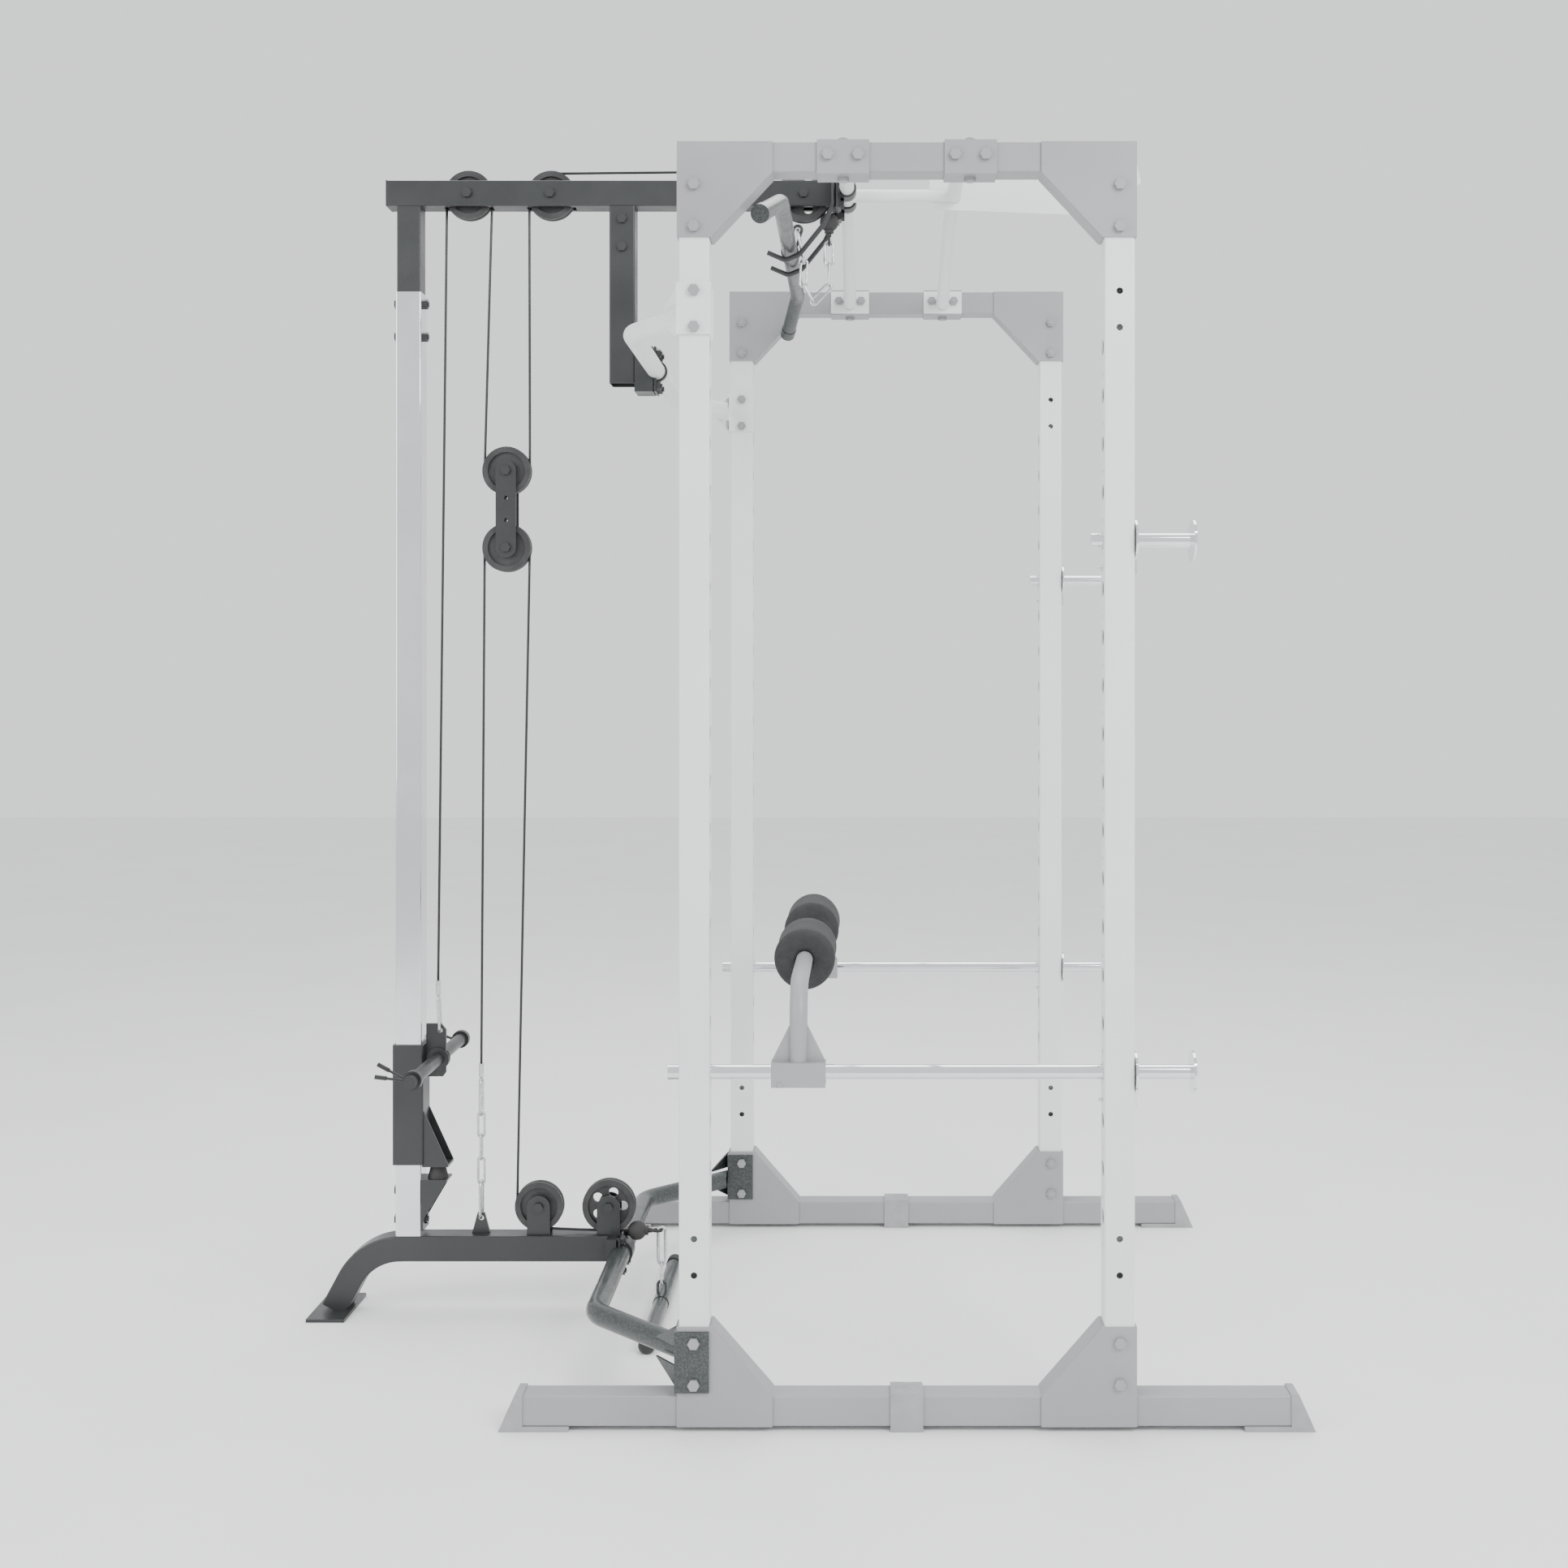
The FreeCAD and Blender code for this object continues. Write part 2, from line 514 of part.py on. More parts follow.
eye_plate = prism([(ANCHOR_X - 18, BASE_TUBE_TOP - 1), (ANCHOR_X + 18, BASE_TUBE_TOP - 1),
                   (ANCHOR_X + 7, 190), (ANCHOR_X - 7, 190)], -3, 3)
eye_plate = cut(eye_plate, hole("y", ANCHOR_X, 0, 180, 11, 20))
saddle_block = box(base_end_x - 1, BRACE_LOW_X - 6, -45, 45, BRACE_LOW_Z - 34, BASE_TUBE_TOP - 1)
saddle_block = cut(saddle_block, rod((BRACE_LOW_X, -60, BRACE_LOW_Z), (BRACE_LOW_X, 60, BRACE_LOW_Z),
                                     ring_low),
                   *[hole("x", BRACE_LOW_X, y, BRACE_LOW_Z + dz, BOLT + 0.4, 25)
                     for y in (-32, 32) for dz in (-29, 29)])
stub = square_tube((COLUMN_X, 0, BASE_TUBE_TOP - 1), (COLUMN_X, 0, 260), STUB, 3, 2)
base = fuse(square_tube((base_back, 0, base_mid_z), (base_end_x, 0, base_mid_z)), foot,
            box(FOOT_BACK, foot_end, -FOOT_WIDTH / 2, FOOT_WIDTH / 2, 0, 6), eye_plate,
            saddle_block, stub, *ears)
save("tower_base", cut(base, *[hole("x", COLUMN_X, 0, z, BOLT_HOLE, 60) for z in bottom_bolts]))

column = square_tube((COLUMN_X, 0, BASE_TUBE_TOP), (COLUMN_X, 0, COLUMN_TOP))
save("tower_column", cut(column, *[hole("x", COLUMN_X, 0, z, BOLT_HOLE, 60)
                                   for z in bottom_bolts + column_bolts]))

# The boom holds three pulleys in slots, and its cross plate clamps to the rear pull-up bar.
plate_x = BOOM_FRONT + 5.0
tube = square_tube((BOOM_BACK, 0, BOOM_Z), (BOOM_FRONT, 0, BOOM_Z))
slots = [box(REAR_WHEEL_X - 48, REAR_WHEEL_X + 48, -12, 12, BOOM_Z - 60, BOOM_Z + 60),
         box(MIDDLE_WHEEL_X - 48, MIDDLE_WHEEL_X + 48, -12, 12, BOOM_Z - 60, BOOM_Z + 60),
         box(FRONT_WHEEL_X - 53, FRONT_WHEEL_X + 55, -12, 12, BOOM_Z - 60, BOOM_Z + 60)]
slots += [hole("y", x, 0, BOOM_Z, 2 * AXLE_R + 0.4, 60)
          for x in (REAR_WHEEL_X, MIDDLE_WHEEL_X, FRONT_WHEEL_X)]
cross = cut(box(BOOM_FRONT, plate_x, -75, 75, BOOM_Z - 40, BOOM_Z + 40),
            box(BOOM_FRONT - 1, plate_x + 1, -25, 25, BOOM_Z - 60, BOOM_Z - HALF),
            *[hole("x", plate_x, y, BOOM_Z + dz, BOLT + 0.4, 30) for y in (-45, 45) for dz in (-28, 28)])
top_stub = square_tube((COLUMN_X, 0, 1880), (COLUMN_X, 0, BOOM_Z - HALF + 1), STUB, 3, 2)
post_stub = square_tube((POST_X, 0, 2060), (POST_X, 0, BOOM_Z - HALF + 1), STUB, 3, 2)
post_bolts = (2140.0, 2085.0)
boom_tube = cut(tube, *slots)
boom = fuse(boom_tube, cross, top_stub, post_stub, box(BOOM_BACK - 3, BOOM_BACK, -HALF, HALF,
                                                       BOOM_Z - HALF, BOOM_Z + HALF))
save("boom", cut(boom, *([hole("x", COLUMN_X, 0, z, BOLT_HOLE, 60) for z in column_bolts]
                         + [hole("y", POST_X, 0, z, BOLT_HOLE, 60) for z in post_bolts])))

post = square_tube((POST_X, 0, POST_FOOT), (POST_X, 0, BOOM_Z - HALF))
post = cut(post, *[hole("y", POST_X, 0, z, BOLT_HOLE, 60) for z in post_bolts])
post_saddle = box(POST_X + HALF, BRACE_TOP_X - 4, -30, 30, BRACE_TOP_Z - 44, BRACE_TOP_Z + 44)
post_saddle = cut(post_saddle, rod((BRACE_TOP_X, -60, BRACE_TOP_Z), (BRACE_TOP_X, 60, BRACE_TOP_Z),
                                   ring_top),
                  *[hole("x", BRACE_TOP_X, y, BRACE_TOP_Z + dz, BOLT + 0.4, 26)
                    for y in (-18, 18) for dz in (-32, 32)])
save("boom_post", fuse(post, post_saddle))


def strap(x, z, bore, y0, y1, wing_y0, wing_y1, wing, back, drills):
    """A half ring over a tube, with a wing above and below it for the bolts."""
    thick = BRACKET
    ring = rod((x, y0, z), (x, y1, z), bore + thick, bore)
    ring = ring.cut(box(x - 60, back + thick, y0 - 1, y1 + 1, z - 60, z + 60))
    legs = [box(back, back + thick, wing_y0, wing_y1, z + bore + 0.5, z + wing),
            box(back, back + thick, wing_y0, wing_y1, z - wing, z - bore - 0.5)]
    shape = fuse(ring, *legs) if back + thick >= x - 1 else fuse(
        ring.fuse(box(back, x, y0, y1, z + bore, z + bore + thick)).fuse(
            box(back, x, y0, y1, z - bore - thick, z - bore)), *legs)
    return cut(shape, *drills)


low_drills = [hole("x", BRACE_LOW_X, y, BRACE_LOW_Z + dz, BOLT + 0.4, 20)
              for y in (-32, 32) for dz in (-29, 29)]
top_drills = [hole("x", BRACE_TOP_X, y, BRACE_TOP_Z + dz, BOLT + 0.4, 20)
              for y in (-18, 18) for dz in (-32, 32)]
bar_drills = [hole("x", -PULL_UP_X, y, PULL_UP_Z + dz, BOLT + 0.4, 30)
              for y in (-45, 45) for dz in (-28, 28)]
straps = [strap(BRACE_LOW_X, BRACE_LOW_Z, ring_low, -20, 20, -45, 45, 34, BRACE_LOW_X - 2, low_drills),
          strap(BRACE_TOP_X, BRACE_TOP_Z, ring_top, -5, 5, -30, 30, 44, BRACE_TOP_X - 2, top_drills)]
bar_strap = strap(-PULL_UP_X, PULL_UP_Z, PULL_UP_DIA / 2 + 0.3, 28, 62, 28, 62, 38, plate_x, bar_drills)
save("clamp_straps", *(straps + both_sides(bar_strap)))


def stud(x0, x1, y, z, nut_x):
    """A threaded stud along X with a nut at its front end."""
    body = rod((x0, y, z), (x1, y, z), BOLT / 2)
    return [body, hexagon((nut_x, y, z), (1, 0, 0), NUT_HIGH).cut(body)]


tower_bolts = []
for z in bottom_bolts + column_bolts:
    tower_bolts += bolt((COLUMN_X - HALF, 0, z), (COLUMN_X + HALF, 0, z))
for z in post_bolts:
    tower_bolts += bolt((POST_X, -HALF, z), (POST_X, HALF, z))
for y in (-32, 32):
    for dz in (-29, 29):
        tower_bolts += stud(BRACE_LOW_X - 22, BRACE_LOW_X + 13, y, BRACE_LOW_Z + dz, BRACE_LOW_X + 2)
for y in (-18, 18):
    for dz in (-32, 32):
        tower_bolts += stud(BRACE_TOP_X - 25, BRACE_TOP_X + 13, y, BRACE_TOP_Z + dz, BRACE_TOP_X + 2)
for y in (-45, 45):
    for dz in (-28, 28):
        tower_bolts += bolt((plate_x + BRACKET, y, PULL_UP_Z + dz), (BOOM_FRONT, y, PULL_UP_Z + dz))
save("tower_bolts", *tower_bolts)

face = COLUMN_X + HALF
stop_top = 260.0
stop = fuse(box(face, face + BRACKET, -HALF, HALF, 160, stop_top),
            box(face, HORN_X + 22, -HALF, HALF, stop_top - BRACKET, stop_top),
            prism([(face, 175), (face, stop_top), (HORN_X + 22, stop_top)], -HALF, -HALF + PLATE),
            prism([(face, 175), (face, stop_top), (HORN_X + 22, stop_top)], HALF - PLATE, HALF))
stop_drills = [hole("x", face, 0, z, 20.5, 9) for z in bottom_bolts]
save("stop_bracket", cut(stop, *stop_drills))
bumper = Part.makeCone(20, 14, CARRIAGE_LOW - stop_top - 0.5, V(HORN_X, 0, stop_top))
save("stop_bumper", bumper)

hook_points = [(-131, 2205), (-131, 2158), (-150, 2118), (-197, 2060), (-224, 2049), (-258, 2064)]
hooks = [bent_rod([(x, y, z) for x, z in hook_points], 14, 4.75) for y in (-65, 65)]
save("bar_hooks", *hooks)


# ---- Carriage ------------------------------------------------------------------------------
horn_hole = HORN_DIA / 2 + 0.1
sleeve = square_tube((COLUMN_X, 0, CARRIAGE_LOW + 5), (COLUMN_X, 0, CARRIAGE_HIGH), SLEEVE, 3, 4)
sleeve = cut(sleeve, hole("x", COLUMN_X + SLEEVE / 2, 0, 505, 10, 8))
hook_plate = prism([(COLUMN_X + SLEEVE / 2, 458), (-900, 458), (-894, 466), (-894, 550), (-904, 562),
                    (COLUMN_X + SLEEVE / 2, 562)], -3, 3)
hook_plate = cut(hook_plate, hole("y", HORN_X, 0, HORN_Z, 2 * horn_hole, 9),
                 hole("y", HORN_X + 4, 0, 549, 10, 9))
lower_plate = box(COLUMN_X + SLEEVE / 2 - 3, -885, -HALF, HALF, CARRIAGE_LOW, CARRIAGE_LOW + 5)
cheek = prism([(COLUMN_X + SLEEVE / 2, CARRIAGE_LOW + 5), (-885, CARRIAGE_LOW + 5),
               (COLUMN_X + SLEEVE / 2, 395)], HALF - PLATE, HALF)
save("carriage_sleeve", fuse(sleeve, hook_plate, lower_plate, cheek, mirrored(cheek)))

liners = []
for z in (CARRIAGE_LOW + 5, CARRIAGE_HIGH - 40):
    liners.append(square_tube((COLUMN_X, 0, z), (COLUMN_X, 0, z + 40), SLEEVE - 6.2, 1.6, 2))
save("carriage_liners", *liners)

horn = rod((HORN_X, -HORN_HALF, HORN_Z), (HORN_X, HORN_HALF, HORN_Z), HORN_DIA / 2)
discs = [rod((HORN_X, y, HORN_Z), (HORN_X, y + 4, HORN_Z), 22.5) for y in (-7.1, 3.1)]
save("weight_horn", fuse(horn, *discs))


def collar():
    """A spring collar: three turns of wire and two handles with dipped tips."""
    bore, wire = HORN_DIA / 2 + 0.3, 2.5
    turns = rod((HORN_X, 197, HORN_Z), (HORN_X, 212, HORN_Z), bore + 2 * wire, bore)
    pieces = [turns]
    for y, lift in ((199.5, 26), (209.5, 8)):
        start = (HORN_X - bore - wire, y, HORN_Z)
        pieces.append(rod(start, (HORN_X - 66, y + (y - 204) * 1.2, HORN_Z + lift), wire))
        pieces.append(rod((HORN_X - 46, y + (y - 204) * 0.7, HORN_Z + lift * 0.62),
                          (HORN_X - 68, y + (y - 204) * 1.25, HORN_Z + lift * 1.04), wire + 1.6))
    return fuse(*pieces)


left_collar = collar()
save("collar_left", left_collar)
save("collar_right", mirrored(left_collar))


# ---- Pulleys, axles and the travelling block -----------------------------------------------
def pulley(x, z, diameter, cable_radius, spokes):
    """A grooved nylon wheel with a recessed web and, on the large ones, five windows."""
    rim, half, hub, web = diameter / 2, WHEEL_WIDE / 2, 14.0, 4.0
    floor = cable_radius - CABLE_R - 0.1
    recess = rim - 11.0
    side = [(BORE_R, half), (hub, half), (hub, web), (recess, web), (recess, half), (rim, half),
            (rim, 4.2), (floor, 1.8)]
    corners = [V(r, y, 0) for r, y in side] + [V(r, -y, 0) for r, y in reversed(side)]
    face = Part.Face(Part.makePolygon(corners + corners[:1]))
    wheel = face.revolve(V(0, 0, 0), V(0, 1, 0), 360)
    middle = (hub + recess) / 2
    for i in range(spokes):
        a = 2 * math.pi * i / spokes
        wheel = wheel.cut(rod((middle * math.cos(a), -20, middle * math.sin(a)),
                              (middle * math.cos(a), 20, middle * math.sin(a)), 9.5))
    wheel.translate(V(x, 0, z))
    return wheel


wheels = {
    "boom_pulley_rear": (REAR_WHEEL_X, BOOM_Z, WHEEL_SMALL, CABLE_SMALL, 0),
    "boom_pulley_middle": (MIDDLE_WHEEL_X, BOOM_Z, WHEEL_SMALL, CABLE_SMALL, 0),
    "boom_pulley_front": (FRONT_WHEEL_X, BOOM_Z, WHEEL_LARGE, CABLE_LARGE, 5),
    "block_pulley_upper": (BLOCK_X, BLOCK_UPPER_Z, WHEEL_SMALL, CABLE_SMALL, 0),
    "block_pulley_lower": (BLOCK_X, BLOCK_LOWER_Z, WHEEL_SMALL, CABLE_SMALL, 0),
    "base_pulley_rear": (BASE_REAR_X, BASE_WHEEL_Z, WHEEL_SMALL, CABLE_SMALL, 0),
    "base_pulley_front": (BASE_FRONT_X, BASE_WHEEL_Z, WHEEL_LARGE, CABLE_LARGE, 5),
}
for name, values in wheels.items():
    save(name, pulley(*values))


def axle(x, z, reach, wall_inside):
    """An axle bolt along Y, its nut, and a spacer each side of the wheel."""
    pieces = bolt((x, -reach, z), (x, reach, z))
    for side in (-1, 1):
        near, far = side * (WHEEL_WIDE / 2 + 0.2), side * wall_inside
        spacer = rod((x, min(near, far), z), (x, max(near, far), z), 8)
        pieces.append(spacer.cut(rod((x, -60, z), (x, 60, z), AXLE_R)))
    return pieces


axles = []
for x in (REAR_WHEEL_X, MIDDLE_WHEEL_X, FRONT_WHEEL_X):
    axles += axle(x, BOOM_Z, HALF, HALF - WALL)
for x in (BASE_REAR_X, BASE_FRONT_X):
    axles += axle(x, BASE_WHEEL_Z, 16, 12)
save("pulley_axles", *axles)
save("block_axles", *(axle(BLOCK_X, BLOCK_UPPER_Z, 16, 12) + axle(BLOCK_X, BLOCK_LOWER_Z, 16, 12)))

block_plates = []
for y in (-16.0, 12.0):
    plate = fuse(box(BLOCK_X - 20, BLOCK_X + 20, y, y + BRACKET, BLOCK_LOWER_Z, BLOCK_UPPER_Z),
                 rod((BLOCK_X, y, BLOCK_UPPER_Z), (BLOCK_X, y + BRACKET, BLOCK_UPPER_Z), 20),
                 rod((BLOCK_X, y, BLOCK_LOWER_Z), (BLOCK_X, y + BRACKET, BLOCK_LOWER_Z), 20))
    drills = [hole("y", BLOCK_X, 0, z, 2 * AXLE_R + 0.2, 50) for z in (BLOCK_UPPER_Z, BLOCK_LOWER_Z)]
    drills += [hole("y", BLOCK_X, 0, (BLOCK_UPPER_Z + BLOCK_LOWER_Z) / 2 + dz, 8, 50) for dz in (-22, 22)]
    block_plates.append(cut(plate, *drills))
save("block_plates", *block_plates)


# ---- Cables --------------------------------------------------------------------------------
def run(x0, z0, x1, z1):
    """A straight stretch of cable, a hair short of what it meets at each end."""
    start, end = V(x0, 0, z0), V(x1, 0, z1)
    gap = (end - start).normalize() * CABLE_GAP
    return rod(tuple(start + gap), tuple(end - gap), CABLE_R)


def wrap(x, z, radius, start, turn):
    """A stretch of cable round a wheel: its angles are in degrees from +X towards +Z."""
    points = []
    for angle in (start, start + turn / 2, start + turn):
        at = math.radians(angle)
        points.append(V(x + radius * math.cos(at), 0, z + radius * math.sin(at)))
    return swept(Part.Wire([Part.Arc(*points).toShape()]), CABLE_R)


front_drop_x = FRONT_WHEEL_X + CABLE_LARGE
rear_left = REAR_WHEEL_X - CABLE_SMALL
rear_right = REAR_WHEEL_X + CABLE_SMALL
middle_left = MIDDLE_WHEEL_X - CABLE_SMALL
block_left, block_right = BLOCK_X - CABLE_SMALL, BLOCK_X + CABLE_SMALL
base_left = BASE_REAR_X - CABLE_SMALL
BALL_R = 18.5
LAT_BALL_Z = 2138.5
ROW_BALL_X = -518.0
row_z = BASE_WHEEL_Z - CABLE_LARGE
ANCHOR_CABLE_Z = 483.0
CARRIAGE_CABLE_Z = 646.0

save("lat_cable_carriage_run", run(HORN_X, CARRIAGE_CABLE_Z, rear_left, BOOM_Z))
save("lat_cable_block_runs", run(block_left, BLOCK_UPPER_Z, rear_right, BOOM_Z),
     run(block_right, BLOCK_UPPER_Z, middle_left, BOOM_Z))
save("row_cable_block_runs", run(ANCHOR_X, ANCHOR_CABLE_Z, block_left, BLOCK_LOWER_Z),
     run(base_left, BASE_WHEEL_Z, block_right, BLOCK_LOWER_Z))
save("block_cable_loops", wrap(BLOCK_X, BLOCK_UPPER_Z, CABLE_SMALL, 180, 180),
     wrap(BLOCK_X, BLOCK_LOWER_Z, CABLE_SMALL, 0, 180))
save("cable_fixed_runs", wrap(REAR_WHEEL_X, BOOM_Z, CABLE_SMALL, 0, 180),
     wrap(MIDDLE_WHEEL_X, BOOM_Z, CABLE_SMALL, 90, 90),
     run(MIDDLE_WHEEL_X, BOOM_Z + CABLE_SMALL, FRONT_WHEEL_X, BOOM_Z + CABLE_LARGE),
     wrap(FRONT_WHEEL_X, BOOM_Z, CABLE_LARGE, 0, 90),
     run(front_drop_x, BOOM_Z, front_drop_x, LAT_BALL_Z + BALL_R),
     wrap(BASE_REAR_X, BASE_WHEEL_Z, CABLE_SMALL, 180, 90),
     run(BASE_REAR_X, BASE_WHEEL_Z - CABLE_SMALL, BASE_FRONT_X, row_z))
save("row_cable_lead", run(BASE_FRONT_X, row_z, ROW_BALL_X - BALL_R, row_z))


# ---- Cable ends, chains and handles --------------------------------------------------------
def ball_stop(x, z, toward, eye_long):
    """A rubber ball on the cable, with a crimped ferrule and an eye beyond it."""
    d = V(*toward).normalize()
    centre = V(x, 0, z)
    cup_end, ferrule_end = centre + d * (BALL_R + 3), centre + d * (BALL_R + 10)
    ball = Part.makeSphere(BALL_R, centre)
    cup = Part.makeCylinder(9, 5, cup_end - d * 5, d)
    ferrule = Part.makeCylinder(4.5, 7.2, cup_end, d)
    eye = link(tuple(ferrule_end - d), tuple(ferrule_end + d * eye_long), 18.5, CHAIN_WIRE, 90)
    return fuse(ball, cup, ferrule, eye)


LAT_EYE_LONG, ROW_EYE_LONG = 19.0, 22.0
save("lat_ball_stop", ball_stop(front_drop_x, LAT_BALL_Z, (0, 0, -1), LAT_EYE_LONG))
save("row_ball_stop", ball_stop(ROW_BALL_X, row_z, (1, 0, 0), ROW_EYE_LONG))

# Each link runs from outer end to outer end, and its neighbours are turned a quarter from it.
HOOK_WIRE = 3.0
PLAY = 0.5
hook_lap = 2 * HOOK_WIRE + 2 * CHAIN_WIRE + PLAY
chain_lap = 4 * CHAIN_WIRE + PLAY
lat_top = LAT_BALL_Z - BALL_R - 10 - LAT_EYE_LONG + hook_lap
lat_x = front_drop_x
save("lat_chain",
     link((lat_x, 0, lat_top), (lat_x, 0, 2050), 22, HOOK_WIRE, 0),
     link((lat_x, 0, 2050 + hook_lap), (lat_x - 1, 0, 2010), 17, CHAIN_WIRE, 90),
     link((-136.5, 0, 2017.7), (-176.0, 0, 1976.0), 17, CHAIN_WIRE, 0),
     link((-170.0, 0, 1979.4), (-193.0, 0, 2019.0), 17, CHAIN_WIRE, 90),
     link((-191.9, 0, 2009.6), (-189.4, 0, 2067.0), 17, CHAIN_WIRE, 0),
     link((-189.0, 0, 2056.0), (-203.0, 0, 2126.0), 30, HOOK_WIRE, 90))

row_chain_x = ROW_BALL_X + BALL_R + 10 + ROW_EYE_LONG - CHAIN_WIRE
row_top = row_z + CHAIN_WIRE + 2 * HOOK_WIRE + PLAY
row_carabiner_low = 85.0
row_handle_z = ROW_HANDLE_DIA / 2 + 1.5
row_eye_top = row_handle_z + 42
save("row_carabiner",
     link((row_chain_x, 0, row_top), (row_chain_x, 0, row_carabiner_low), 20, HOOK_WIRE, 0),
     link((row_chain_x, 0, row_carabiner_low + hook_lap), (row_chain_x, 0, row_eye_top - hook_lap),
          22, CHAIN_WIRE, 90))

anchor_ends = [457.0, 379.0, 336.0, 292.0, 244.0, 177.0]
anchor = [rod((ANCHOR_X, 0, anchor_ends[0]), (ANCHOR_X, 0, ANCHOR_CABLE_Z), 4.5),
          link((ANCHOR_X, 0, anchor_ends[0]), (ANCHOR_X, 0, anchor_ends[1]), 28, HOOK_WIRE, 90)]
for number, (above, low) in enumerate(zip(anchor_ends[1:], anchor_ends[2:])):
    last = number == 3
    lap = hook_lap if number == 0 or last else chain_lap
    anchor.append(link((ANCHOR_X, 0, above + lap), (ANCHOR_X, 0, low), 28 if last else 17,
                       HOOK_WIRE if last else CHAIN_WIRE, 90 * (number % 2)))
save("anchor_chain", *anchor)

save("carriage_carabiner", rod((HORN_X + 0.5, 0, 618), (HORN_X, 0, CARRIAGE_CABLE_Z), 4.5),
     link((HORN_X + 0.5, 0, 617.9), (HORN_X + 4, 0, 545.5), 18, HOOK_WIRE, 90))


def handle(points, radius, bend, cap_long):
    """A round bar, bent or straight, with a plug at each end and a middle collar and eye."""
    bar = bent_rod(points, bend, radius) if len(points) > 2 else rod(points[0], points[1], radius)
    a, b = V(*points[0]), V(*points[1])
    out = (a - b).normalize()
    end_cap = Part.makeCylinder(radius + 1.2, cap_long, a - out * (cap_long - 3), out)
    return fuse(bar, end_cap, mirrored(end_cap))


drop = (LAT_BAR_X - 28, 2020.0)
lat_body = handle([(drop[0], -535, drop[1]), (LAT_BAR_X, -394, LAT_BAR_Z), (LAT_BAR_X, 394, LAT_BAR_Z),
                   (drop[0], 535, drop[1])], LAT_BAR_DIA / 2, 90, 26)
lat_collar = rod((LAT_BAR_X, -24, LAT_BAR_Z), (LAT_BAR_X, 24, LAT_BAR_Z), LAT_BAR_DIA / 2 + 2.5)
eye_top = LAT_BAR_Z + LAT_BAR_DIA / 2
lat_eye = link((LAT_BAR_X + 3, 0, eye_top - 4), (LAT_BAR_X + 18, 0, eye_top + 43), 22, HOOK_WIRE, 0)
save("lat_bar", fuse(lat_body, lat_collar, lat_eye))

row_x = row_chain_x
row_body = handle([(row_x, -ROW_HANDLE_HALF, row_handle_z), (row_x, ROW_HANDLE_HALF, row_handle_z)],
                  ROW_HANDLE_DIA / 2, 0, 24)
row_collar = rod((row_x, -20, row_handle_z), (row_x, 20, row_handle_z), ROW_HANDLE_DIA / 2 + 1.4)
row_eye = link((row_x, 0, row_handle_z + 8), (row_x, 0, row_eye_top), 22, HOOK_WIRE, 0)
save("row_handle", fuse(row_body, row_collar, row_eye))
print(len(NODES), "nodes")
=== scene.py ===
# %% [markdown]
# A power cage is mostly square steel tube, so its look rests on a few finishes: powder coat, hammered
# paint, mirror chrome, bright zinc, moulded nylon and foam. The steelwork arrives ready made in its
# frame, and this lesson gives it those finishes and adds foam, cables, caps and welds.
# %% Load the frame
import json
import math
import bmesh
import bpy
from mathutils import Matrix, Vector


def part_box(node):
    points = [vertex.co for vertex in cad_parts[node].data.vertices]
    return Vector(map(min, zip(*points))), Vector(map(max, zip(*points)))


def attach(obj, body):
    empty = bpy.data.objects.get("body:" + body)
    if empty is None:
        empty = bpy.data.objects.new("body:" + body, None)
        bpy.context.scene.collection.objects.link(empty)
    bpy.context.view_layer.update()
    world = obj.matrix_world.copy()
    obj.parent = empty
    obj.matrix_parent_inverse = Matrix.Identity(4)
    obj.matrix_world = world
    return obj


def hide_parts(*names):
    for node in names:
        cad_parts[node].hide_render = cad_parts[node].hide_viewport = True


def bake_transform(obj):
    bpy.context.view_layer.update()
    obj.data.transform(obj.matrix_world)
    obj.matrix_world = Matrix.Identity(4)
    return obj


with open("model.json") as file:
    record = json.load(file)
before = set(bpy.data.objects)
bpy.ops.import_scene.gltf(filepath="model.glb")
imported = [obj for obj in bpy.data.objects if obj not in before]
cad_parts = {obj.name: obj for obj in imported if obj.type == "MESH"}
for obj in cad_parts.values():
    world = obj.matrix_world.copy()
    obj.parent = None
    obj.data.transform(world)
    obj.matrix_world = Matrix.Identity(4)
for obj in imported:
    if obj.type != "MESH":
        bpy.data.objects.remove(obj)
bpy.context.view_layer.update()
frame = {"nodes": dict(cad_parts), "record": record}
nodes = frame["nodes"]
print("nodes", len(nodes))


# %% [markdown]
# Shader maths reads best as plain expressions. One small class wraps a socket, so that a sum of two
# values adds a Math node, and a method adds any other node by its type.
# %% Shader expressions
class Value:
    """A socket that can be used in a Python expression."""

    def __init__(self, tree, socket):
        self.tree = tree
        self.socket = socket

    def math(self, operation, *others):
        node = self.tree.nodes.new("ShaderNodeMath")
        node.operation = operation
        for place, value in enumerate((self,) + others):
            if isinstance(value, Value):
                self.tree.links.new(value.socket, node.inputs[place])
            else:
                node.inputs[place].default_value = value
        return Value(self.tree, node.outputs[0])

    def __add__(self, other):
        return self.math("ADD", other)

    def __mul__(self, other):
        return self.math("MULTIPLY", other)

    def __rsub__(self, other):
        return (self * -1.0) + other

    __radd__, __rmul__ = __add__, __mul__

    def between(self, low, high):
        """0 below low, 1 above high, and a straight ramp between."""
        node = self.tree.nodes.new("ShaderNodeMapRange")
        self.tree.links.new(self.socket, node.inputs[0])
        node.inputs[1].default_value = low
        node.inputs[2].default_value = high
        return Value(self.tree, node.outputs[0])


